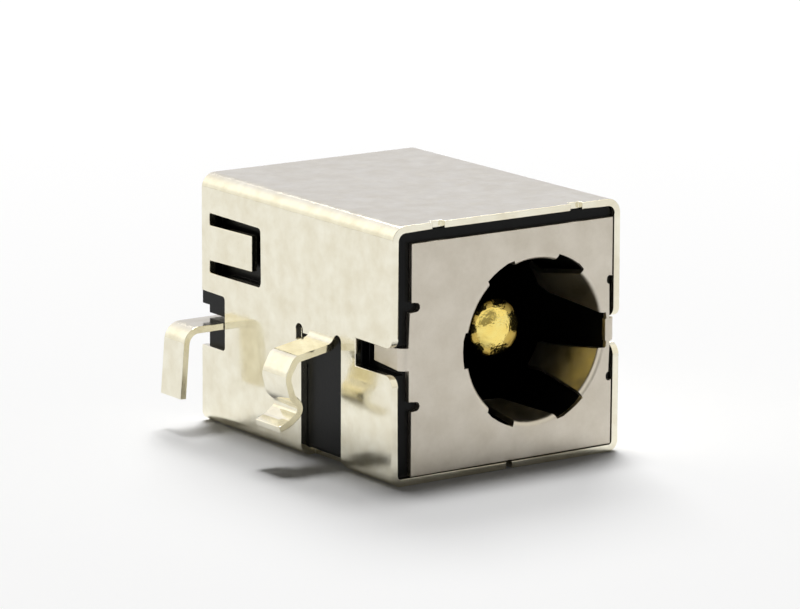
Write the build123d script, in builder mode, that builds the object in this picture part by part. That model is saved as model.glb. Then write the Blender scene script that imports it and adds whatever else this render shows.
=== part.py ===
from build123d import *
from math import cos, radians, sin
import os

# A shielded DC barrel jack for a circuit board, for a plug of 5.5 mm with a 2.1 mm hole.
# The mouth faces -Y and the shield's flat bottom rests on z = 0. The origin is the middle of the jack's foot.
# Lengths are millimetres. A depth is counted back from the shield's front edge, a height up from z = 0,
# and an inset in from the outer face of a side wall.

os.makedirs("parts", exist_ok=True)

# Shield: one sheet folded round the housing, with its seam in the bottom
shell_width = 9.6
shell_height = 9.0
shell_depth = 11.85
sheet = 0.25
top_fold = 0.54
bottom_fold = 0.4
seam_x = 0.13
seam_gap = 0.24
nick_width = 0.5
nick_depth = 0.22
nick_spread = 5.8

# Plug that the jack takes, and the centre pin that enters it
plug_radius = 2.75
pin_radius = 1.05
pin_tip_depth = 2.05
pin_dome = 0.12
pin_edge = 0.35
shank_radius = 0.7
shank_length = 0.9
tail_radius = 0.4
tail_play = 0.01
rivet_radius = 0.75
rivet_height = 0.18

# Front plate: one sheet in the shield's mouth, with a strap at each side
plate_sheet = 0.2
plate_left_gap = 0.55
plate_right_gap = 0.06
plate_top_gap = 0.4
plate_bottom_gap = 0.04
relief_over = 1.77
relief_under = 1.66
relief_slot = 0.32
left_relief_length = 0.34
right_relief_length = 0.13
relief_end = 0.002
left_edge_inset = 0.7
right_edge_inset = 0.42
strap_root = 0.78
strap_tip = 0.55
strap_length = 1.62
strap_fold = 0.28
left_strap_inset = 0.38
right_strap_inset = 0.14

# Bore, and the six fingers of the front plate that line its mouth
bore_land = 0.26
bore_rise = 0.06
end_wall = 2.15
lip_play = 0.1
finger_fold = 0.22
finger_count = 6
finger_press = 0.13
finger_reach = 2.6
finger_flare = 0.9
slit_front = 1.2
slit_back = 2.1

# Housing, which stands a little proud of the shield at the back, with a step at its foot
play = 0.02
housing_proud = 0.38
step_height = 4.2
step_length = 0.45

# Board terminals, one at each side of the back
terminal_sheet = 0.25
terminal_drop = 0.68
terminal_width = 1.3
terminal_out = 1.65
terminal_fold = 0.65
terminal_lean = 0.2
terminal_tip = 1.28
terminal_play = 0.1
inner_fold = 0.1
centre_plate_width = 2.6
centre_plate_rise = 1.12

# Leaf spring that touches the plug's barrel
leaf_inset = 1.2
leaf_width = 1.16
leaf_lead = 0.1
leaf_arm = 2.6
leaf_nose = 1.6
leaf_return = 0.9
leaf_press = 0.35
leaf_bend = 0.8
leaf_room = 0.3

# Latch tongue in each side wall
latch_length = 3.3
latch_end_gap = 0.5
latch_web = 0.73
latch_top_gap = 1.38
slot_arm = 0.42
slot_corner = 0.15
slot_end = 0.8
latch_dip = 0.15
pocket_inset = 0.6
pocket_play = 0.05

# Board leg of each side wall, and the window that it is bent out of
window_front = 3.05
window_back = 5.5
window_top = 4.4
window_corner = 0.5
window_reach = 0.6
relief_width = 0.45
relief_rise = 0.3
relief_offset = 0.12
leg_width = 1.45
leg_profile = [(0, 0), (1.6, 0.28), (2.04, 1.0), (1.8, 1.78), (1.38, 2.16), (1.88, 2.52), (2.27, 2.66)]
leg_bends = [0.3, 0.42, 0.6, 0.4, 0.2, 0.5]

# Notches in each side wall for the strap and for the terminal
strap_notch_depth = 2.2
strap_notch_drop = 0.53
strap_notch_rise = 0.42
low_notch_corner = 0.42
high_notch_corner = 0.35
rear_notch_length = 1.5
rear_notch_drop = 0.9
rear_notch_rise = 1.07
notch_play = 0.05

# Places that follow from the sizes above
half_width = shell_width / 2
inner_half = half_width - sheet
inner_top = shell_height - sheet
front = -(shell_depth + housing_proud) / 2
housing_half = inner_half - play
housing_low = sheet + play
housing_high = inner_top - play
housing_end = shell_depth + housing_proud
plate_left = plate_left_gap - inner_half
plate_right = inner_half - plate_right_gap
plate_low = sheet + plate_bottom_gap
plate_high = inner_top - plate_top_gap
plate_relieved = half_width - right_edge_inset
bore_height = (plate_low + plate_high) / 2 + bore_rise
relief_low = bore_height - relief_under
relief_high = bore_height + relief_over
lip_radius = plug_radius + lip_play
rim_radius = lip_radius + finger_fold
bore_radius = rim_radius + play
bore_x = inner_half - bore_land - rim_radius
finger_end = finger_reach + finger_flare
terminal_height = bore_height - terminal_drop
terminal_over = terminal_height + terminal_sheet / 2
terminal_under = terminal_height - terminal_sheet / 2
terminal_start = shell_depth - rear_notch_length + notch_play
terminal_back = terminal_start + terminal_width
seat_depth = terminal_back - terminal_sheet
step_depth = housing_end - step_length
bore_depth = seat_depth - end_wall
centre_plate_top = bore_height + centre_plate_rise
leaf_low = bore_height - leaf_width / 2
leaf_high = bore_height + leaf_width / 2
leaf_x = leaf_inset - half_width
leaf_slot = leaf_inset + terminal_sheet + play
leaf_root = bore_depth - leaf_lead
leaf_crest = leaf_root - leaf_arm
leaf_front = leaf_crest - leaf_nose
latch_back = shell_depth - latch_end_gap
latch_front = latch_back - latch_length
latch_high = shell_height - latch_top_gap
strap_notch_low = bore_height - strap_notch_drop
strap_notch_high = bore_height + strap_notch_rise
rear_notch_front = shell_depth - rear_notch_length
rear_notch_low = terminal_height - rear_notch_drop
rear_notch_high = terminal_height + rear_notch_rise
latch_low = rear_notch_high + latch_web
leg_front = window_front + relief_width
relief_top = window_top + relief_rise
relief_middles = (window_front + relief_width / 2, window_back + relief_offset)
outside = 2 * shell_depth

front_plane = Plane.XZ.offset(-front)
left_wall = Plane(origin=(-half_width, front, 0), x_dir=(0, 1, 0), z_dir=(1, 0, 0))
bore_section = Plane(origin=(bore_x, front, bore_height), x_dir=(1, 0, 0), z_dir=(0, 0, 1))
bore_axis = Axis((bore_x, front, bore_height), (0, 1, 0))


def across(depth):
    """Plane across the jack at a depth, seen from the front."""
    return front_plane.offset(-depth)


def span(low_x, high_x, low_y, high_y, mode=Mode.ADD):
    """Rectangle between two pairs of lines, for the sketch that calls it."""
    with Locations(((low_x + high_x) / 2, (low_y + high_y) / 2)):
        return Rectangle(high_x - low_x, high_y - low_y, mode=mode)


def folded_block(width, low, high, bottom_radius, top_radius, start, end):
    """Block with the shield's four rounded folds, from one depth to another."""
    with BuildPart() as block:
        with BuildSketch(across(start)) as section:
            span(-width / 2, width / 2, low, high)
            fillet(section.vertices().group_by(Axis.Y)[0], bottom_radius)
            fillet(section.vertices().group_by(Axis.Y)[-1], top_radius)
        extrude(amount=start - end)
    return block.part


def dome_radius(reach, rise):
    """Radius of the sphere whose cap has this radius and height."""
    return (reach**2 + rise**2) / (2 * rise)


def side_block(start, end, low, high, from_inset, to_inset):
    """Block at the left wall, between two depths, two heights and two insets."""
    with BuildPart() as block:
        with BuildSketch(left_wall.offset(from_inset)):
            span(start, end, low, high)
        extrude(amount=to_inset - from_inset)
    return block.part


def cross_block(left, right, low, high, start, end):
    """Block between two places across the jack, two heights and two depths."""
    with BuildPart() as block:
        with BuildSketch(across(start)):
            span(left, right, low, high)
        extrude(amount=start - end)
    return block.part


def bent_strip(plane, points, bends, thickness, width, side):
    """Strip of sheet, one face of which follows a bent line on a plane."""
    with BuildPart() as strip:
        with BuildSketch(plane):
            with BuildLine():
                FilletPolyline(*points, radius=bends)
                offset(amount=thickness, side=side)
            make_face()
        extrude(amount=width)
    return strip.part


# What is stamped out of a side wall: strap notch, window, reliefs, latch slot and rear notch
with BuildPart() as wall_openings:
    with BuildSketch(left_wall.offset(-sheet)) as strap_notch:
        span(-outside, strap_notch_depth, strap_notch_low, strap_notch_high)
        span(-outside, 0, -outside, outside)
        for notch_edge, corner in (
            (strap_notch_low, low_notch_corner),
            (strap_notch_high, high_notch_corner),
        ):
            fillet(strap_notch.vertices().sort_by_distance((0, notch_edge))[0], corner)
    extrude(amount=sheet + window_reach)
    with BuildSketch(left_wall.offset(-sheet)) as window:
        span(window_front, window_back, -outside, window_top)
        span(-outside, outside, -outside, 0)
        fillet(window.vertices().sort_by_distance((window_front, 0))[0], window_corner)
    extrude(amount=sheet + window_reach)
    with BuildSketch(left_wall.offset(-sheet)) as stamped:
        for middle in relief_middles:
            with Locations((middle, relief_top - relief_width / 2)):
                Circle(relief_width / 2)
            span(
                middle - relief_width / 2,
                middle + relief_width / 2,
                window_top - relief_rise,
                relief_top - relief_width / 2,
            )
        span(leg_front, leg_front + leg_width, window_top - relief_rise, relief_top)
        span(latch_front, latch_back, latch_low, latch_high)
        span(rear_notch_front, outside, rear_notch_low, rear_notch_high)
        for corner in (
            (latch_front, latch_low),
            (latch_front, latch_high),
            (rear_notch_front, rear_notch_low),
            (rear_notch_front, rear_notch_high),
        ):
            fillet(stamped.vertices().sort_by_distance(corner)[0], slot_corner)
    extrude(amount=sheet + window_reach)

# Board leg, bent out of the wall and kinked so that it snaps into the board
leg_points = [(-half_width, relief_top + sheet)]
leg_points += [(-half_width - out, window_top - drop) for out, drop in leg_profile]
leg = bent_strip(across(leg_front), leg_points, leg_bends, sheet, -leg_width, Side.LEFT)

# Latch tongue, dipped at its free end into the housing's pocket
with BuildPart() as tongue:
    with BuildSketch(Plane.XY.offset(latch_low + slot_arm)):
        with BuildLine():
            Polyline(
                (-half_width, front + latch_back + sheet),
                (-half_width, front + latch_back),
                (latch_dip - half_width, front + latch_front + slot_end),
                (latch_dip - inner_half, front + latch_front + slot_end),
                (-inner_half, front + latch_back),
                (-inner_half, front + latch_back + sheet),
                close=True,
            )
        make_face()
    extrude(amount=latch_high - latch_low - 2 * slot_arm)

with BuildPart() as shield_shell:
    add(folded_block(shell_width, 0, shell_height, bottom_fold, top_fold, 0, shell_depth))
    add(
        folded_block(
            2 * inner_half, sheet, inner_top, bottom_fold - sheet, top_fold - sheet, -sheet, outside
        ),
        mode=Mode.SUBTRACT,
    )
    with BuildSketch(Plane.XY):
        with Locations((seam_x, 0)):
            Rectangle(seam_gap, outside)
    extrude(amount=sheet, mode=Mode.SUBTRACT)
    with BuildSketch(Plane.XY.offset(inner_top)):
        with Locations((-nick_spread / 2, front), (nick_spread / 2, front)):
            Rectangle(nick_width, 2 * nick_depth)
    extrude(amount=sheet, mode=Mode.SUBTRACT)
    add(wall_openings.part, mode=Mode.SUBTRACT)
    mirror(wall_openings.part, about=Plane.YZ, mode=Mode.SUBTRACT)
    for piece in (leg, tongue.part):
        add(piece)
        mirror(piece, about=Plane.YZ)
shield_shell.part.label = "shield_shell"
export_step(shield_shell.part, "parts/shield_shell.step")


# Front plate


def strap(edge, inset, out):
    """Strap that leaves the plate's side edge, turns back and narrows. The left one has out -1."""
    outer = out * (half_width - inset)
    with BuildPart() as turned:
        add(
            bent_strip(
                Plane.XY.offset(bore_height - strap_root / 2),
                [(edge - out * strap_fold, front), (outer, front), (outer, front + strap_length)],
                strap_fold,
                plate_sheet,
                strap_root,
                Side.LEFT if out > 0 else Side.RIGHT,
            )
        )
        with BuildSketch(left_wall.offset(-sheet)):
            with BuildLine():
                Polyline(
                    (-sheet, bore_height - strap_root / 2),
                    (plate_sheet, bore_height - strap_root / 2),
                    (strap_length, bore_height - strap_tip / 2),
                    (strap_length, bore_height + strap_tip / 2),
                    (plate_sheet, bore_height + strap_root / 2),
                    (-sheet, bore_height + strap_root / 2),
                    close=True,
                )
            make_face()
        extrude(amount=shell_width + 2 * sheet, mode=Mode.INTERSECT)
    return turned.part


# Fingers: a ring turned from the rim back into the bore, slit all the way round
slit_angles = [radians(360 * step / finger_count) for step in range(finger_count)]
slit_planes = [
    Plane(
        origin=(bore_x, front, bore_height),
        x_dir=(sin(angle), 0, -cos(angle)),
        z_dir=(cos(angle), 0, sin(angle)),
    )
    for angle in slit_angles
]
with BuildPart() as finger_crown:
    with BuildSketch(bore_section):
        with BuildLine():
            FilletPolyline(
                (rim_radius + plate_sheet / 4, 0),
                (lip_radius, 0),
                (plug_radius - finger_press, finger_reach),
                (lip_radius, finger_end),
                radius=[finger_fold - play, finger_flare],
            )
            offset(amount=plate_sheet, side=Side.RIGHT)
        make_face()
    revolve(axis=bore_axis)
    with BuildSketch(*slit_planes):
        with BuildLine():
            Polyline(
                (-slit_front / 2, -plate_sheet),
                (slit_front / 2, -plate_sheet),
                (slit_back / 2, finger_end + plate_sheet),
                (-slit_back / 2, finger_end + plate_sheet),
                close=True,
            )
        make_face()
    extrude(amount=bore_radius + plate_sheet, mode=Mode.SUBTRACT)

with BuildPart() as front_plate:
    with BuildSketch(front_plane):
        span(plate_left, plate_right, plate_low, plate_high)
        span(plate_left, left_edge_inset - half_width, relief_low, relief_high)
        span(plate_relieved, plate_right, relief_low, relief_high, mode=Mode.SUBTRACT)
        for edge, reach in ((plate_left, left_relief_length), (plate_relieved, right_relief_length)):
            with Locations((edge, relief_low), (edge, relief_high)):
                corner = min(reach, relief_slot / 2) - relief_end / 2
                RectangleRounded(2 * reach, relief_slot, corner, mode=Mode.SUBTRACT)
        with Locations((bore_x, bore_height)):
            Circle(rim_radius, mode=Mode.SUBTRACT)
    extrude(amount=-plate_sheet)
    add(finger_crown.part)
    add(strap(plate_left, left_strap_inset, -1))
    add(strap(plate_right, right_strap_inset, 1))
front_plate.part.label = "front_plate"
export_step(front_plate.part, "parts/front_plate.step")

# Housing
latch_pocket = side_block(
    latch_front - pocket_play,
    latch_back + pocket_play,
    latch_low - pocket_play,
    latch_high + pocket_play,
    0,
    pocket_inset,
)


def strap_groove(strap_inset):
    """Groove behind the wall's notch that a strap lies in, for the left side."""
    return side_block(
        0,
        strap_notch_depth,
        strap_notch_low - play,
        strap_notch_high + play,
        0,
        strap_inset + plate_sheet + play,
    )


with BuildPart() as housing:
    add(
        folded_block(
            2 * housing_half,
            housing_low,
            housing_high,
            bottom_fold - sheet,
            top_fold - sheet,
            plate_sheet,
            housing_end,
        )
    )
    add(latch_pocket, mode=Mode.SUBTRACT)
    mirror(latch_pocket, about=Plane.YZ, mode=Mode.SUBTRACT)
    # Bore, then the holes in its end wall for the pin's shank and tail
    for hole_radius, hole_end in (
        (bore_radius, bore_depth),
        (shank_radius, bore_depth + shank_length),
        (tail_radius + tail_play, outside),
    ):
        with BuildSketch(front_plane):
            with Locations((bore_x, bore_height)):
                Circle(hole_radius)
        extrude(amount=-hole_end, mode=Mode.SUBTRACT)
    hollows = [
        # Step at the foot of the back
        cross_block(-half_width, half_width, 0, step_height, step_depth, outside),
        # Seat of the centre terminal's plate, and the way out for its strip
        cross_block(
            bore_x - centre_plate_width / 2 - play,
            bore_x + centre_plate_width / 2 + play,
            terminal_under - play,
            centre_plate_top + play,
            seat_depth,
            outside,
        ),
        cross_block(
            bore_x - centre_plate_width / 2 - play,
            half_width,
            terminal_under - terminal_play,
            terminal_over + terminal_play,
            terminal_start - terminal_play,
            outside,
        ),
        # Chamber of the leaf spring, its slot to the back, and the way out for its terminal
        side_block(
            leaf_front - leaf_room,
            leaf_root + leaf_room,
            leaf_low - play,
            leaf_high + play,
            leaf_inset - play,
            half_width + bore_x - pin_radius - 3 * plate_sheet,
        ),
        side_block(leaf_root, outside, leaf_low - play, leaf_high + play, leaf_inset - play, leaf_slot),
        side_block(
            terminal_start - terminal_play,
            outside,
            terminal_under - terminal_play,
            leaf_high + play,
            leaf_inset - play,
            leaf_slot,
        ),
        side_block(
            terminal_start - terminal_play,
            outside,
            terminal_under - terminal_play,
            terminal_over + terminal_play,
            0,
            leaf_slot,
        ),
        strap_groove(left_strap_inset),
    ]
    for hollow in hollows:
        add(hollow, mode=Mode.SUBTRACT)
    mirror(strap_groove(right_strap_inset), about=Plane.YZ, mode=Mode.SUBTRACT)
housing.part.label = "housing"
export_step(housing.part, "parts/housing.step")

# Centre pin: turned, with a domed tip, and riveted over the centre terminal
with BuildPart() as centre_pin:
    with BuildSketch(bore_section):
        with BuildLine():
            edge_start = (pin_radius - pin_edge, pin_tip_depth + pin_dome)
            edge_end = (pin_radius, pin_tip_depth + pin_dome + pin_edge)
            RadiusArc((0, pin_tip_depth), edge_start, -dome_radius(pin_radius - pin_edge, pin_dome))
            RadiusArc(edge_start, edge_end, -pin_edge)
            Polyline(
                edge_end,
                (pin_radius, bore_depth),
                (shank_radius, bore_depth),
                (shank_radius, bore_depth + shank_length),
                (tail_radius, bore_depth + shank_length),
                (tail_radius, terminal_back),
                (rivet_radius, terminal_back),
            )
            rivet_top = (0, terminal_back + rivet_height)
            RadiusArc((rivet_radius, terminal_back), rivet_top, -dome_radius(rivet_radius, rivet_height))
            Line(rivet_top, (0, pin_tip_depth))
        make_face()
    revolve(axis=bore_axis)
centre_pin.part.label = "centre_pin"
export_step(centre_pin.part, "parts/centre_pin.step")


# Terminals
def terminal(start_points, bends):
    """Strip of the left terminal, out through the wall's rear notch and down to the board."""
    elbow = -half_width - terminal_out
    return bent_strip(
        across(terminal_start),
        start_points + [(elbow, terminal_over), (elbow - terminal_lean, terminal_tip)],
        bends + [terminal_fold],
        terminal_sheet,
        -terminal_width,
        Side.LEFT,
    )


with BuildPart() as centre_terminal:
    add(
        bent_strip(
            Plane(
                origin=(bore_x - centre_plate_width / 2, front, 0), x_dir=(0, 1, 0), z_dir=(1, 0, 0)
            ),
            [(seat_depth, centre_plate_top), (seat_depth, terminal_over), (terminal_start, terminal_over)],
            inner_fold,
            terminal_sheet,
            centre_plate_width,
            Side.LEFT,
        )
    )
    with BuildSketch(across(seat_depth)):
        with Locations((bore_x, bore_height)):
            Circle(tail_radius + tail_play)
    extrude(amount=-terminal_sheet, mode=Mode.SUBTRACT)
    mirror(terminal([(-bore_x - centre_plate_width / 2 + terminal_sheet, terminal_over)], []), about=Plane.YZ)
centre_terminal.part.label = "centre_terminal"
export_step(centre_terminal.part, "parts/centre_terminal.step")

with BuildPart() as barrel_contact:
    add(terminal([(leaf_x, leaf_high), (leaf_x, terminal_over)], [inner_fold]))
    add(
        bent_strip(
            Plane.XY.offset(leaf_low),
            [
                (leaf_x, front + terminal_back),
                (leaf_x, front + leaf_root),
                (bore_x - plug_radius + leaf_press, front + leaf_crest),
                (bore_x - plug_radius + leaf_press - leaf_return, front + leaf_front),
            ],
            leaf_bend,
            terminal_sheet,
            leaf_width,
            Side.LEFT,
        )
    )
barrel_contact.part.label = "barrel_contact"
export_step(barrel_contact.part, "parts/barrel_contact.step")
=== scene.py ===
# %% [markdown]
# # A shielded DC barrel jack
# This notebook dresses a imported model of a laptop's power inlet: a folded metal shield, a black
# moulded housing, a stamped front plate with six fingers in its mouth, and a gold-plated pin.
# The shapes and sizes come from the model. What is added here is the light, the finish of every
# surface, and the small rounds and marks that stamping, moulding and turning leave behind.

from math import cos, radians, sin, tau

import bmesh
import bpy
from mathutils import Matrix, Vector


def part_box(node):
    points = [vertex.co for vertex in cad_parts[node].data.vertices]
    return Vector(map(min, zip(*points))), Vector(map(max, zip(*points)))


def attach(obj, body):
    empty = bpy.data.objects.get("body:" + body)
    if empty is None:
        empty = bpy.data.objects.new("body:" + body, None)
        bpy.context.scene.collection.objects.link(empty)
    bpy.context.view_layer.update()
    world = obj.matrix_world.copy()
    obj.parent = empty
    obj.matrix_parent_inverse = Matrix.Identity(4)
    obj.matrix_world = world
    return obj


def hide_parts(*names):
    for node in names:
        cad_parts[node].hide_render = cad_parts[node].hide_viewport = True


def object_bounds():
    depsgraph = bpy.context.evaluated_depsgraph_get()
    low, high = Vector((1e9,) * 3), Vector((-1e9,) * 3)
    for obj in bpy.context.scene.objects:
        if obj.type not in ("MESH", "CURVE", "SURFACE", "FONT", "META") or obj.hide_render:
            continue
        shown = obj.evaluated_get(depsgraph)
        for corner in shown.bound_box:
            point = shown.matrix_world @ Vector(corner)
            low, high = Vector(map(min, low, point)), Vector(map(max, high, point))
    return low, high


MM = 0.001
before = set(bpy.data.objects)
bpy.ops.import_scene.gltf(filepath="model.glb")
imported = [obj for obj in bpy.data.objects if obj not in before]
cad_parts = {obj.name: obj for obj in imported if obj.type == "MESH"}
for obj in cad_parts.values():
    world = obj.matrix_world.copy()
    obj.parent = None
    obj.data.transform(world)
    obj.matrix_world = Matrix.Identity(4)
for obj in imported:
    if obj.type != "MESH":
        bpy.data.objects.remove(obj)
cad_low, cad_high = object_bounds()
print("Nodes:", ", ".join(sorted(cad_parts)))
print("Box in mm:", [round(side / MM, 2) for side in cad_high - cad_low])

# %% [markdown]
# ## The camera
# The jack is a small thing seen from close by, so the camera's distance matters more than its lens:
# it sets how fast the walls narrow towards the back. The distance, the angles and the aim were fitted
# once to the corners of the shield, and the lens then gives the picture its width.

# %% Place the camera
CAMERA_AZIMUTH = radians(-34.987)
CAMERA_ELEVATION = radians(12.255)
CAMERA_ROLL = radians(0.244)
CAMERA_DISTANCE = 160.69 * MM
CAMERA_LENS = 215.4
CAMERA_SENSOR = 36
CAMERA_NEAR = 10 * MM
CAMERA_FAR = 5
CAMERA_AIM = Vector((-4.485 * MM, cad_low.y, 6.334 * MM))


def place_camera():
    """Camera that looks at the aim from the given angles, turned a little about its own axis."""
    camera = bpy.data.objects.new("camera", bpy.data.cameras.new("camera"))
    camera.data.sensor_width = CAMERA_SENSOR
    camera.data.lens = CAMERA_LENS
    camera.data.clip_start = CAMERA_NEAR
    camera.data.clip_end = CAMERA_FAR
    back = Vector((
        sin(CAMERA_AZIMUTH) * cos(CAMERA_ELEVATION),
        -cos(CAMERA_AZIMUTH) * cos(CAMERA_ELEVATION),
        sin(CAMERA_ELEVATION),
    ))
    level = Vector((0, 0, 1)).cross(back).normalized()
    upright = back.cross(level)
    right = cos(CAMERA_ROLL) * level + sin(CAMERA_ROLL) * upright
    up = back.cross(right)
    place = CAMERA_AIM + back * CAMERA_DISTANCE
    camera.matrix_world = Matrix.Translation(place) @ Matrix((right, up, back)).transposed().to_4x4()
    bpy.context.scene.collection.objects.link(camera)
    bpy.context.scene.camera = camera
    return place


print("Camera in mm:", [round(value / MM, 1) for value in place_camera()])

# %% [markdown]
# ## Helpers for node trees
# Colours are picked as sRGB hex values, the way a paint chart gives them, while the renderer works in
# linear light, so one function turns them round. Another adds a node with its settings and links,
# which keeps each material short enough to read as a recipe. Inputs are given by name, or as i0 and
# i1 by number, because a Math node has the same name on all of its inputs.

# %% Colour and node helpers
MATH = "ShaderNodeMath"
ADD = {"operation": "ADD"}
SUBTRACT = {"operation": "SUBTRACT"}
MULTIPLY = {"operation": "MULTIPLY"}
DIVIDE = {"operation": "DIVIDE"}
MAXIMUM = {"operation": "MAXIMUM"}
LESS_THAN = {"operation": "LESS_THAN"}
SINE = {"operation": "SINE"}
COSINE = {"operation": "COSINE"}
OF_COLOURS = {"data_type": "RGBA"}
SMOOTHLY = {"interpolation_type": "SMOOTHSTEP"}


def linear(hex_colour):
    """Linear RGBA of an sRGB hex colour."""
    channels = [int(hex_colour[start:start + 2], 16) / 255 for start in (1, 3, 5)]
    return [c / 12.92 if c <= 0.04045 else ((c + 0.055) / 1.055) ** 2.4 for c in channels] + [1]


def add_node(tree, kind, settings=None, **inputs):
    """Node of a kind with its settings. An input is a value, an output socket, or a node for its result."""
    node = tree.nodes.new(kind)
    for name, value in (settings or {}).items():
        setattr(node, name, value)
    for name, value in inputs.items():
        label = name.replace("_", " ")
        sockets = [s for s in node.inputs if s.name == label and s.enabled]
        socket = node.inputs[int(name[1:])] if name[0] == "i" and name[1:].isdigit() else sockets[0]
        if isinstance(value, bpy.types.Node):
            value = next(output for output in value.outputs if output.enabled)
        if isinstance(value, bpy.types.NodeSocket):
            tree.links.new(value, socket)
        else:
            socket.default_value = value
    return node


def new_material(name):
    """Empty node material and its tree."""
    material = bpy.data.materials.new(name)
    material.use_nodes = True
    material.node_tree.nodes.clear()
    return material, material.node_tree


print("Middle grey in linear light:", round(linear("#808080")[0], 3))

# %% [markdown]
# ## The stage
# The jack stands on a white sheet that runs into a white background. The sheet is plain white paper and
# takes the shadow. A little of its whiteness is a glow that only the camera and mirrors see, so that
# no more light falls on the metal than on the paper.

# %% White sheet
FLOOR_SIZE = 3.0
FLOOR_PAPER = "#f9f9f9"
FLOOR_GLOW = 0.01


def seen_by_eye(tree):
    """1 for rays from the camera, straight or by mirrors and glass, and 0 for rays that carry light."""
    path = add_node(tree, "ShaderNodeLightPath").outputs
    mirrored = add_node(tree, MATH, MAXIMUM, i0=path["Is Glossy Ray"], i1=path["Is Transmission Ray"])
    eye = add_node(tree, MATH, MAXIMUM, i0=path["Is Camera Ray"], i1=mirrored)
    unscattered = add_node(tree, MATH, LESS_THAN, i0=path["Diffuse Depth"], i1=0.5)
    return add_node(tree, MATH, MULTIPLY, i0=eye, i1=unscattered)


def make_floor():
    """Large white sheet under the jack."""
    material, tree = new_material("white_paper_sheet")
    paper = add_node(tree, "ShaderNodeBsdfDiffuse", Color=linear(FLOOR_PAPER))
    strength = add_node(tree, MATH, MULTIPLY, i0=seen_by_eye(tree), i1=FLOOR_GLOW)
    glow = add_node(tree, "ShaderNodeEmission", Color=linear("#ffffff"), Strength=strength)
    both = add_node(tree, "ShaderNodeAddShader", i0=paper, i1=glow)
    add_node(tree, "ShaderNodeOutputMaterial", Surface=both)
    half = FLOOR_SIZE / 2
    corners = [(x, y, cad_low.z) for x, y in ((-half, -half), (half, -half), (half, half), (-half, half))]
    mesh = bpy.data.meshes.new("floor")
    mesh.from_pydata(corners, [], [(0, 1, 2, 3)])
    mesh.materials.append(material)
    floor = bpy.data.objects.new("floor", mesh)
    bpy.context.scene.collection.objects.link(floor)
    return floor


print("Floor:", make_floor().name, FLOOR_SIZE, "m wide")

# %% [markdown]
# ## The room
# A small shiny box looks like what it mirrors, so the room matters more than the lamps. It is a white
# tent: warm white at the left, a little cooler behind at the right, brighter high up behind, and with
# a dim opening straight before the jack's mouth. The opening is what makes the mouth dark and gives
# the gold its contrast. Matt surfaces get only a faint share of the tent, because the lamps light them.

# %% White tent
SKY_LIGHT = 0.05
OPENING_DIRECTION = Vector((0.0, -1.0, 0.0))
OPENING_EDGE = 0.78
OPENING_MIDDLE = 0.96
OPENING_LEVEL = 0.3
WARM_CLOTH = "#fffdf6"
COOL_CLOTH = "#dcdbe1"
COOL_DIRECTION = Vector((0.6, 0.75, 0.25)).normalized()
COOL_EDGE = 0.45
COOL_MIDDLE = 0.95
BRIGHT_DIRECTION = Vector((-0.15, 0.8, 0.6)).normalized()
BRIGHT_EDGE = 0.8
BRIGHT_MIDDLE = 0.96
BRIGHT_LEVEL = 1.35


def light_the_world():
    """Pale tent for light and mirrors, with plain white where the camera looks past the jack."""
    world = bpy.data.worlds.new("white_tent")
    world.use_nodes = True
    tree = world.node_tree
    tree.nodes.clear()
    direction = add_node(tree, "ShaderNodeTexCoord").outputs["Generated"]
    near_opening, near_cool, near_bright = [
        add_node(tree, "ShaderNodeVectorMath", {"operation": "DOT_PRODUCT"}, i0=direction, i1=towards)
        for towards in (OPENING_DIRECTION, COOL_DIRECTION, BRIGHT_DIRECTION)
    ]
    opening = add_node(tree, "ShaderNodeMapRange", SMOOTHLY, Value=near_opening,
                       From_Min=OPENING_EDGE, From_Max=OPENING_MIDDLE, To_Min=1.0, To_Max=OPENING_LEVEL)
    cool = add_node(tree, "ShaderNodeMapRange", SMOOTHLY, Value=near_cool,
                    From_Min=COOL_EDGE, From_Max=COOL_MIDDLE)
    bright = add_node(tree, "ShaderNodeMapRange", SMOOTHLY, Value=near_bright,
                      From_Min=BRIGHT_EDGE, From_Max=BRIGHT_MIDDLE, To_Min=1.0, To_Max=BRIGHT_LEVEL)
    cloth = add_node(tree, "ShaderNodeMix", OF_COLOURS, Factor=cool,
                     A=linear(WARM_CLOTH), B=linear(COOL_CLOTH))
    level = add_node(tree, "ShaderNodeMapRange", Value=seen_by_eye(tree), To_Min=SKY_LIGHT, To_Max=1.0)
    dimmed = add_node(tree, MATH, MULTIPLY, i0=level, i1=opening)
    strength = add_node(tree, MATH, MULTIPLY, i0=dimmed, i1=bright)
    tent = add_node(tree, "ShaderNodeBackground", Color=cloth, Strength=strength)
    white = add_node(tree, "ShaderNodeBackground", Color=linear("#ffffff"), Strength=1.0)
    straight = add_node(tree, "ShaderNodeLightPath").outputs["Is Camera Ray"]
    both = add_node(tree, "ShaderNodeMixShader", i0=straight, i1=tent, i2=white)
    add_node(tree, "ShaderNodeOutputWorld", Surface=both)
    bpy.context.scene.world = world
    return world


print("World:", light_the_world().name)

# %% [markdown]
# ## The lamps
# The shadow tells where the light is. It is dark where the jack meets the sheet, falls towards the
# camera and to the left, and fades over several millimetres. Two softboxes nearly overhead give the
# dark part close to the jack, and a larger one behind gives the long pale part and lights the folds.

# %% Softboxes
LAMP_DISTANCE = 1.0


def softbox(name, direction, size, level):
    """Square white lamp that faces the jack. Level 1 alone lights a facing white card to full white."""
    lamp = bpy.data.lights.new(name, "AREA")
    lamp.shape = "SQUARE"
    lamp.size = size
    lamp.energy = level * (tau / 2 * LAMP_DISTANCE) ** 2
    holder = bpy.data.objects.new(name, lamp)
    towards = Vector(direction).normalized()
    holder.location = (cad_low + cad_high) / 2 + towards * LAMP_DISTANCE
    holder.rotation_mode = "QUATERNION"
    holder.rotation_quaternion = towards.to_track_quat("Z", "Y")
    bpy.context.scene.collection.objects.link(holder)
    print(name, round(lamp.energy, 2), "W")


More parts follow.
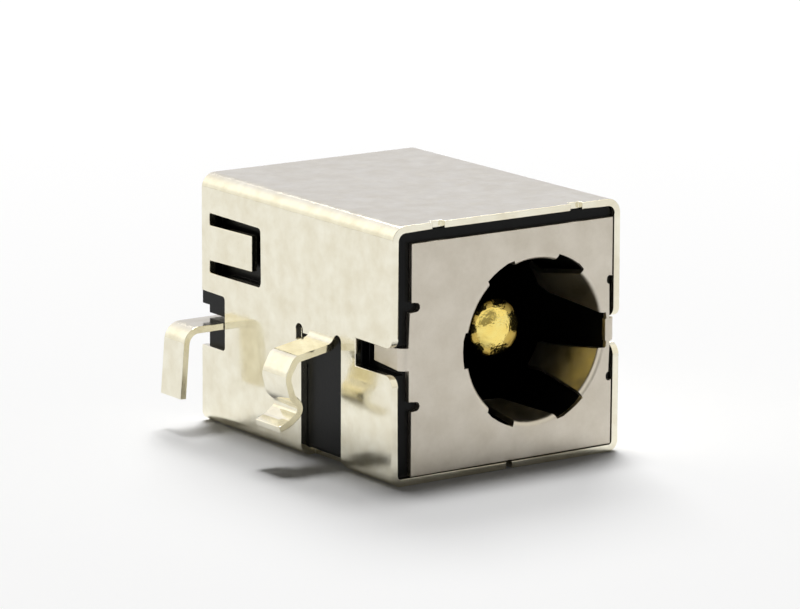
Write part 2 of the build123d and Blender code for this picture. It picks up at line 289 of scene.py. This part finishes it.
softbox("softbox_above", (0.05, 0.17, 1.0), 0.2, 0.38)
softbox("softbox_right", (0.3, 0.2, 1.0), 0.26, 0.26)
softbox("softbox_behind", (0.5, 0.8, 1.0), 0.45, 0.5)

# %% [markdown]
# ## Finishes: plated sheet
# The shield and the terminals are sheet plated with tin and then reflowed, which leaves a bright, warm
# white skin that mirrors clearly but with a haze, and with faint clouds where the tin ran. The front
# plate has a satin nickel coat: greyer, browner and much less of a mirror. Both are one recipe with
# other numbers: clouds of colour, clouds of roughness, and a faint orange-peel bump.

# %% Plated sheet
CLOUD_LOW = 0.32
CLOUD_HIGH = 0.68
HAZE_SIZE = 0.45 * MM
HAZE_LOW = 0.3
HAZE_HIGH = 0.7
PEEL_SIZE = 0.5 * MM
PEEL_HEIGHT = 0.02 * MM


def plated_sheet(name, base, cloud, cloud_size, rough, peel):
    """Metal with an electroplated coat. Rough is the lowest and the highest roughness."""
    material, tree = new_material(name)
    place = add_node(tree, "ShaderNodeTexCoord").outputs["Object"]
    clouds = add_node(tree, "ShaderNodeTexNoise", Vector=place, Scale=1 / cloud_size,
                      Detail=5.0, Roughness=0.62)
    contrast = add_node(tree, "ShaderNodeMapRange", Value=clouds, From_Min=CLOUD_LOW, From_Max=CLOUD_HIGH)
    tone = add_node(tree, "ShaderNodeMix", OF_COLOURS, Factor=contrast, A=linear(base), B=linear(cloud))
    haze = add_node(tree, "ShaderNodeTexNoise", Vector=place, Scale=1 / HAZE_SIZE, Detail=3.0)
    roughness = add_node(tree, "ShaderNodeMapRange", Value=haze, From_Min=HAZE_LOW, From_Max=HAZE_HIGH,
                         To_Min=rough[0], To_Max=rough[1])
    skin = add_node(tree, "ShaderNodeTexNoise", Vector=place, Scale=1 / PEEL_SIZE, Detail=2.0)
    bump = add_node(tree, "ShaderNodeBump", Strength=peel, Distance=PEEL_HEIGHT, Height=skin)
    metal = add_node(tree, "ShaderNodeBsdfPrincipled", Base_Color=tone, Metallic=1.0,
                     Roughness=roughness, Normal=bump)
    add_node(tree, "ShaderNodeOutputMaterial", Surface=metal)
    return material


tin = plated_sheet("reflowed_tin_plate", "#e6dfc8", "#f4f0de", 0.8 * MM, (0.09, 0.17), 0.12)
nickel = plated_sheet("satin_nickel_plate", "#c6beaf", "#d6cfc2", 0.9 * MM, (0.28, 0.42), 0.2)
print("Sheet finishes:", tin.name, nickel.name)

# %% [markdown]
# ## Finishes: moulded plastic
# The housing is glass-filled nylon, black all through. It is nearly matt: the mould was spark-eroded,
# which leaves a very fine grain, drawn here a little coarser than it is so that it shows.

# %% Moulded plastic
GRAIN_SIZE = 0.12 * MM
GRAIN_HEIGHT = 0.01 * MM


def moulded_plastic(name, base):
    """Black glass-filled plastic with a fine matt mould texture."""
    material, tree = new_material(name)
    place = add_node(tree, "ShaderNodeTexCoord").outputs["Object"]
    grain = add_node(tree, "ShaderNodeTexNoise", Vector=place, Scale=1 / GRAIN_SIZE, Detail=3.0)
    bump = add_node(tree, "ShaderNodeBump", Strength=0.25, Distance=GRAIN_HEIGHT, Height=grain)
    plastic = add_node(tree, "ShaderNodeBsdfPrincipled", Base_Color=linear(base), Roughness=0.32,
                       IOR=1.36, Specular_IOR_Level=0.25, Normal=bump)
    add_node(tree, "ShaderNodeOutputMaterial", Surface=plastic)
    return material


black = moulded_plastic("glass_filled_black_nylon", "#070808")
print("Housing finish:", black.name)

# %% [markdown]
# ## Finishes: gold on turned brass
# The pin is turned brass with a flash of gold. Its end is a little lumpy under the plating, so it
# breaks the bright tent and the dim opening into sharp patches of yellow and brown.

# %% Gold
SPOT_SIZE = 0.5 * MM
LUMP_SIZE = 0.4 * MM
LUMP_HEIGHT = 0.05 * MM


def gold_plate(name, base, worn):
    """Thin gold over brass that is lumpy at the scale of the tool's marks."""
    material, tree = new_material(name)
    place = add_node(tree, "ShaderNodeTexCoord").outputs["Object"]
    spots = add_node(tree, "ShaderNodeTexNoise", Vector=place, Scale=1 / SPOT_SIZE, Detail=4.0)
    tone = add_node(tree, "ShaderNodeMix", OF_COLOURS, Factor=spots, A=linear(base), B=linear(worn))
    lumps = add_node(tree, "ShaderNodeTexNoise", Vector=place, Scale=1 / LUMP_SIZE, Detail=3.0)
    bump = add_node(tree, "ShaderNodeBump", Strength=1.0, Distance=LUMP_HEIGHT, Height=lumps)
    metal = add_node(tree, "ShaderNodeBsdfPrincipled", Base_Color=tone, Metallic=1.0, Roughness=0.14,
                     Normal=bump)
    add_node(tree, "ShaderNodeOutputMaterial", Surface=metal)
    return material


gold = gold_plate("gold_plate_on_turned_brass", "#fff09a", "#f5d060")
print("Pin finish:", gold.name)

# %% [markdown]
# ## The stamped and moulded pieces
# Sheet metal and moulded plastic have no knife edges. Each piece is a copy of its node, its loose
# triangles merged and its flat faces joined, with a small round on every sharp edge. Edges that are
# shorter than the round, nearly folded shut, or crowded at the root of a leg stay as they are.

# %% Which edges are rounded
SHARP_ANGLE = radians(32)
KNIFE_ANGLE = radians(150)
LEG_ROOT = [(4.4, 4.95), (-3.3, -0.5), (4.0, 5.1)]


def in_leg_root(edge):
    """Whether an edge touches the place where a leg leaves its wall, which is too tight to round."""
    places = [(abs(vert.co.x), vert.co.y, vert.co.z) for vert in edge.verts]
    return any(
        all(low * MM < value < high * MM for value, (low, high) in zip(place, LEG_ROOT))
        for place in places
    )


def can_be_rounded(edge, round_mm):
    """Whether an edge is sharp and has room for a round."""
    sharp = edge.is_manifold and SHARP_ANGLE < edge.calc_face_angle() < KNIFE_ANGLE
    return sharp and edge.calc_length() > 2 * round_mm * MM and not in_leg_root(edge)


# %% [markdown]
# ## Normals that keep flat faces flat
# Smooth shading blends the normals of all the faces at a corner, which would make a flat wall look
# swollen beside its narrow rounds. Here each corner's normal is weighted by area among the faces that
# smooth edges join, so the wall wins. Where two walls meet in one corner, each keeps its own normal.
# Blender has a modifier for this, but it is not used here.

# %% Corner normals by area
HARD_LEAN = radians(30)


def fans_around(vert):
    """Corners at a vertex, in groups that smooth edges join."""
    corners = {loop.face: loop for loop in vert.link_loops}
    while corners:
        fan = []
        waiting = [corners.pop(next(iter(corners)))]
        while waiting:
            loop = waiting.pop()
            fan.append(loop)
            for edge in (loop.edge, loop.link_loop_prev.edge):
                neighbours = [face for face in edge.link_faces if edge.smooth and face in corners]
                waiting += [corners.pop(face) for face in neighbours]
        yield fan


def weigh_corners(mesh):
    """Gives a mesh corner normals that are weighted by area."""
    work = bmesh.new()
    work.from_mesh(mesh)
    areas = {face: face.calc_area() / MM ** 2 for face in work.faces}
    places = {loop: place for place, loop in enumerate(loop for face in work.faces for loop in face.loops)}
    normals = [Vector()] * len(places)
    for vert in work.verts:
        for fan in fans_around(vert):
            shared = sum((loop.face.normal * areas[loop.face] for loop in fan), Vector()).normalized()
            for loop in fan:
                flat = loop.face.normal
                normals[places[loop]] = flat if flat.angle(shared, 0) > HARD_LEAN else shared
    work.free()
    mesh.normals_split_custom_set(normals)


# %% [markdown]
# ## Finished copies
# The copy's sharp edges are marked in its mesh, and a Bevel modifier rounds those that have room. The
# result is made a plain mesh before its normals are set, because the new rounds take part in them.

# %% Pieces with rounded edges
MERGE_DISTANCE = 0.0005 * MM
FLAT_ANGLE = radians(0.2)
ROUND_SEGMENTS = 2


def show(piece, node):
    """Attaches a finished piece, hides the node that it stands for, and prints its face count."""
    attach(piece, "root")
    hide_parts(node)
    print(piece.name, len(piece.data.polygons), "faces")


def merged_copy(node, round_mm):
    """Copy of a node's mesh without doubles, with the edges to round and the edges to keep sharp marked."""
    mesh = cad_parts[node].data.copy()
    work = bmesh.new()
    work.from_mesh(mesh)
    bmesh.ops.remove_doubles(work, verts=work.verts, dist=MERGE_DISTANCE)
    bmesh.ops.dissolve_limit(work, angle_limit=FLAT_ANGLE, verts=work.verts, edges=work.edges)
    for face in work.faces:
        face.smooth = True
    weights = work.edges.layers.float.new("bevel_weight_edge")
    for edge in work.edges:
        rounded = can_be_rounded(edge, round_mm)
        edge[weights] = 1.0 if rounded else 0.0
        edge.smooth = rounded or not edge.is_manifold or edge.calc_face_angle() <= SHARP_ANGLE
    work.to_mesh(mesh)
    work.free()
    return mesh


def rounded_copy(node, material, round_mm):
    """Copy of a node with its sharp edges rounded, which stands for the node."""
    marked = merged_copy(node, round_mm)
    marked.materials.clear()
    marked.materials.append(material)
    piece = bpy.data.objects.new(node + "_finished", marked)
    bpy.context.scene.collection.objects.link(piece)
    bevel = piece.modifiers.new("edge_round", "BEVEL")
    bevel.width = round_mm * MM
    bevel.segments = ROUND_SEGMENTS
    bevel.limit_method = "WEIGHT"
    bevel.use_clamp_overlap = False
    bevel.loop_slide = False
    ready = piece.evaluated_get(bpy.context.evaluated_depsgraph_get())
    finished = bpy.data.meshes.new_from_object(ready)
    piece.modifiers.clear()
    piece.data = finished
    bpy.data.meshes.remove(marked)
    finished.name = node + "_finished"
    weigh_corners(finished)
    show(piece, node)


rounded_copy("shield_shell", tin, 0.03)
rounded_copy("front_plate", nickel, 0.025)
rounded_copy("housing", black, 0.03)
rounded_copy("centre_terminal", tin, 0.025)
rounded_copy("barrel_contact", tin, 0.025)

# %% [markdown]
# ## The turned pin
# A lathe makes the pin: one profile, swept round an axis, with the fine rings that the tool leaves. The
# node tree below is that lathe. It lays a grid round the axis, samples the profile curve for each row,
# and pushes each point out by a small wave, so the rings follow the profile round its edge and on to
# its end. It could have been a Screw modifier, but that would give no tool rings.

# %% Lathe node tree
LATHE_INPUTS = [
    ("Steps Around", "NodeSocketInt", 96),
    ("Steps Along", "NodeSocketInt", 420),
    ("Ring Depth", "NodeSocketFloat", 0.0012 * MM),
    ("Ring Pitch", "NodeSocketFloat", 0.11 * MM),
    ("Axis", "NodeSocketVector", (0.0, 0.0, 0.0)),
    ("Finish", "NodeSocketMaterial", None),
]


def lathe_tree():
    """Node group that turns a profile curve (x is the radius, y the place on the axis) into a solid."""
    tree = bpy.data.node_groups.new("lathe", "GeometryNodeTree")
    tree.interface.new_socket("Profile", in_out="INPUT", socket_type="NodeSocketGeometry")
    for name, kind, value in LATHE_INPUTS:
        socket = tree.interface.new_socket(name, in_out="INPUT", socket_type=kind)
        if value is not None:
            socket.default_value = value
    tree.interface.new_socket("Solid", in_out="OUTPUT", socket_type="NodeSocketGeometry")
    given = add_node(tree, "NodeGroupInput").outputs
    columns = add_node(tree, MATH, ADD, i0=given["Steps Around"], i1=1)
    grid = add_node(tree, "GeometryNodeMeshGrid", Size_X=1.0, Size_Y=1.0,
                    Vertices_X=columns, Vertices_Y=given["Steps Along"])
    cell = add_node(tree, "ShaderNodeSeparateXYZ", i0=add_node(tree, "GeometryNodeInputPosition")).outputs
    around = add_node(tree, MATH, ADD, i0=cell["X"], i1=0.5)
    along = add_node(tree, MATH, ADD, i0=cell["Y"], i1=0.5)
    sample = add_node(tree, "GeometryNodeSampleCurve", {"mode": "FACTOR"},
                      Curves=given["Profile"], Factor=along).outputs
    point = add_node(tree, "ShaderNodeSeparateXYZ", i0=sample["Position"]).outputs
    heading = add_node(tree, "ShaderNodeSeparateXYZ", i0=sample["Tangent"]).outputs
    length = add_node(tree, "GeometryNodeCurveLength", Curve=given["Profile"])
    travelled = add_node(tree, MATH, MULTIPLY, i0=along, i1=length)
    pitches = add_node(tree, MATH, DIVIDE, i0=travelled, i1=given["Ring Pitch"])
    wave = add_node(tree, MATH, SINE, i0=add_node(tree, MATH, MULTIPLY, i0=pitches, i1=tau))
    ring = add_node(tree, MATH, MULTIPLY, i0=wave, i1=given["Ring Depth"])
    outwards = add_node(tree, MATH, MULTIPLY, i0=ring, i1=heading["Y"])
    forwards = add_node(tree, MATH, MULTIPLY, i0=ring, i1=heading["X"])
    radius = add_node(tree, MATH, ADD, i0=point["X"], i1=outwards)
    depth = add_node(tree, MATH, SUBTRACT, i0=point["Y"], i1=forwards)
    angle = add_node(tree, MATH, MULTIPLY, i0=around, i1=tau)
    across = add_node(tree, MATH, MULTIPLY, i0=radius, i1=add_node(tree, MATH, COSINE, i0=angle))
    upwards = add_node(tree, MATH, MULTIPLY, i0=radius, i1=add_node(tree, MATH, SINE, i0=angle))
    turned = add_node(tree, "ShaderNodeCombineXYZ", X=across, Y=depth, Z=upwards)
    placed = add_node(tree, "ShaderNodeVectorMath", ADD, i0=turned, i1=given["Axis"])
    shaped = add_node(tree, "GeometryNodeSetPosition", Geometry=grid, Position=placed)
    closed = add_node(tree, "GeometryNodeMergeByDistance", Geometry=shaped, Distance=MERGE_DISTANCE)
    smooth = add_node(tree, "GeometryNodeSetShadeSmooth", Geometry=closed)
    real = add_node(tree, "GeometryNodeRealizeInstances", Geometry=smooth)
    coated = add_node(tree, "GeometryNodeSetMaterial", Geometry=real, Material=given["Finish"])
    add_node(tree, "NodeGroupOutput", Solid=coated)
    return tree


# %% [markdown]
# The profile is drawn once in millimetres, from the tip to the riveted tail: a softly rounded end, the
# long body that the plug slides over, a thinner shank pressed into the housing, and a tail that is
# riveted over the terminal's plate. The radius and both ends are read from the model.

# %% Pin profile
PIN_END_LENGTH = 0.47
PIN_END_FLATNESS = 2.4
PIN_BODY_LENGTH = 7.25
PIN_SHANK_RADIUS = 0.7
PIN_SHANK_LENGTH = 0.9
PIN_TAIL_RADIUS = 0.4
PIN_RIVET_RADIUS = 0.75
PIN_RIVET_HEIGHT = 0.18
END_STEPS = 24


def rounded_end(radius, length):
    """Points from near the middle of a softly rounded end out to its full radius."""
    sides = [sin(tau / 4 * step / END_STEPS) for step in range(1, END_STEPS + 1)]
    return [(radius * side, length * (1 - (1 - side ** PIN_END_FLATNESS) ** 0.5)) for side in sides]


def pin_profile(radius, length):
    """Profile of the pin as (radius, distance from the tip) in millimetres."""
    shank_end = PIN_BODY_LENGTH + PIN_SHANK_LENGTH
    seat = length - PIN_RIVET_HEIGHT
    profile = [(0, 0)] + rounded_end(radius, PIN_END_LENGTH)
    profile += [(radius, PIN_BODY_LENGTH), (PIN_SHANK_RADIUS, PIN_BODY_LENGTH), (PIN_SHANK_RADIUS, shank_end)]
    profile += [(PIN_TAIL_RADIUS, shank_end), (PIN_TAIL_RADIUS, seat)]
    rivet = [(x, length - y) for x, y in rounded_end(PIN_RIVET_RADIUS, PIN_RIVET_HEIGHT)]
    return profile + rivet[::-1] + [(0, length)]


def poly_curve(name, points):
    """Curve object with one open line of straight runs through points in metres."""
    curve = bpy.data.curves.new(name, "CURVE")
    curve.dimensions = "3D"
    line = curve.splines.new("POLY")
    line.points.add(len(points) - 1)
    for spot, (x, y) in zip(line.points, points):
        spot.co = (x, y, 0, 1)
    holder = bpy.data.objects.new(name, curve)
    bpy.context.scene.collection.objects.link(holder)
    return holder


# %% [markdown]
# A node tree's result is made a plain mesh, and the object that held the modifier goes. The faces are
# then turned outwards, because a swept grid may come out with its inside facing out.

# %% Bake and place the pin
def baked(holder, tree, name, **values):
    """Plain mesh object of what a node tree makes of an object, which is then removed."""
    modifier = holder.modifiers.new(tree.name, "NODES")
    modifier.node_group = tree
    for item in tree.interface.items_tree:
        key = item.name.replace(" ", "_")
        if item.in_out == "INPUT" and key in values:
            modifier[item.identifier] = values[key]
    ready = holder.evaluated_get(bpy.context.evaluated_depsgraph_get())
    mesh = bpy.data.meshes.new_from_object(ready)
    mesh.name = name
    bpy.data.objects.remove(holder)
    work = bmesh.new()
    work.from_mesh(mesh)
    bmesh.ops.recalc_face_normals(work, faces=work.faces)
    work.to_mesh(mesh)
    work.free()
    piece = bpy.data.objects.new(name, mesh)
    bpy.context.scene.collection.objects.link(piece)
    return piece


pin_low, pin_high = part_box("centre_pin")
pin_middle = (pin_low + pin_high) / 2
pin_points = pin_profile((pin_high.x - pin_low.x) / 2 / MM, (pin_high.y - pin_low.y) / MM)
pin_curve = poly_curve("pin_profile", [(x * MM, y * MM) for x, y in pin_points])
pin = baked(pin_curve, lathe_tree(), "centre_pin_finished",
            Axis=(pin_middle.x, pin_low.y, pin_middle.z), Finish=gold)
show(pin, "centre_pin")

# %% [markdown]
# ## Ejector marks
# Round pins push the housing out of its mould, and each leaves a faint ring on the face that it pushed.
# The marks are alike, so the node tree below sets one ring on every point of a small mesh of places.
# The back of the housing steps in below the terminals, so the lower marks lie on the deeper face.

# %% Rings on the housing's back
MARK_RADIUS = 0.42 * MM
MARK_RIM = 0.022 * MM
HIGH_MARKS = [(-3.1, 7.2), (3.1, 7.2)]
LOW_MARKS = [(-3.1, 1.5), (3.1, 1.5)]
BACK_STEP = 0.45 * MM
RING_STEPS = 40
RIM_STEPS = 8
MARKS_INPUTS = [
    ("Radius", "NodeSocketFloat"),
    ("Rim", "NodeSocketFloat"),
    ("Finish", "NodeSocketMaterial"),
]


def marks_tree():
    """Node group that sets an upright ring, facing back, on every point of a mesh."""
    tree = bpy.data.node_groups.new("ejector_marks", "GeometryNodeTree")
    tree.interface.new_socket("Places", in_out="INPUT", socket_type="NodeSocketGeometry")
    for name, kind in MARKS_INPUTS:
        tree.interface.new_socket(name, in_out="INPUT", socket_type=kind)
    tree.interface.new_socket("Rings", in_out="OUTPUT", socket_type="NodeSocketGeometry")
    given = add_node(tree, "NodeGroupInput").outputs
    path = add_node(tree, "GeometryNodeCurvePrimitiveCircle", Resolution=RING_STEPS, Radius=given["Radius"])
    bead = add_node(tree, "GeometryNodeCurvePrimitiveCircle", Resolution=RIM_STEPS, Radius=given["Rim"])
    ring = add_node(tree, "GeometryNodeCurveToMesh", Curve=path, Profile_Curve=bead)
    rings = add_node(tree, "GeometryNodeInstanceOnPoints", Points=given["Places"], Instance=ring,
                     Rotation=(tau / 4, 0.0, 0.0))
    real = add_node(tree, "GeometryNodeRealizeInstances", Geometry=rings)
    smooth = add_node(tree, "GeometryNodeSetShadeSmooth", Geometry=real)
    coated = add_node(tree, "GeometryNodeSetMaterial", Geometry=smooth, Material=given["Finish"])
    add_node(tree, "NodeGroupOutput", Rings=coated)
    return tree


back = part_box("housing")[1].y
mark_places = [Vector((x * MM, back, z * MM)) for x, z in HIGH_MARKS]
mark_places += [Vector((x * MM, back - BACK_STEP, z * MM)) for x, z in LOW_MARKS]
place_mesh = bpy.data.meshes.new("mark_places")
place_mesh.from_pydata(mark_places, [], [])
place_holder = bpy.data.objects.new("mark_places", place_mesh)
bpy.context.scene.collection.objects.link(place_holder)
marks = baked(place_holder, marks_tree(), "ejector_marks", Radius=MARK_RADIUS, Rim=MARK_RIM, Finish=black)
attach(marks, "root")
print(marks.name, len(marks.data.polygons), "faces")

# %% [markdown]
# ## Finish
# The picture is rendered in the Standard view transform, so that colours show as they are written.

# %% Finish
bpy.context.scene.view_settings.view_transform = "Standard"
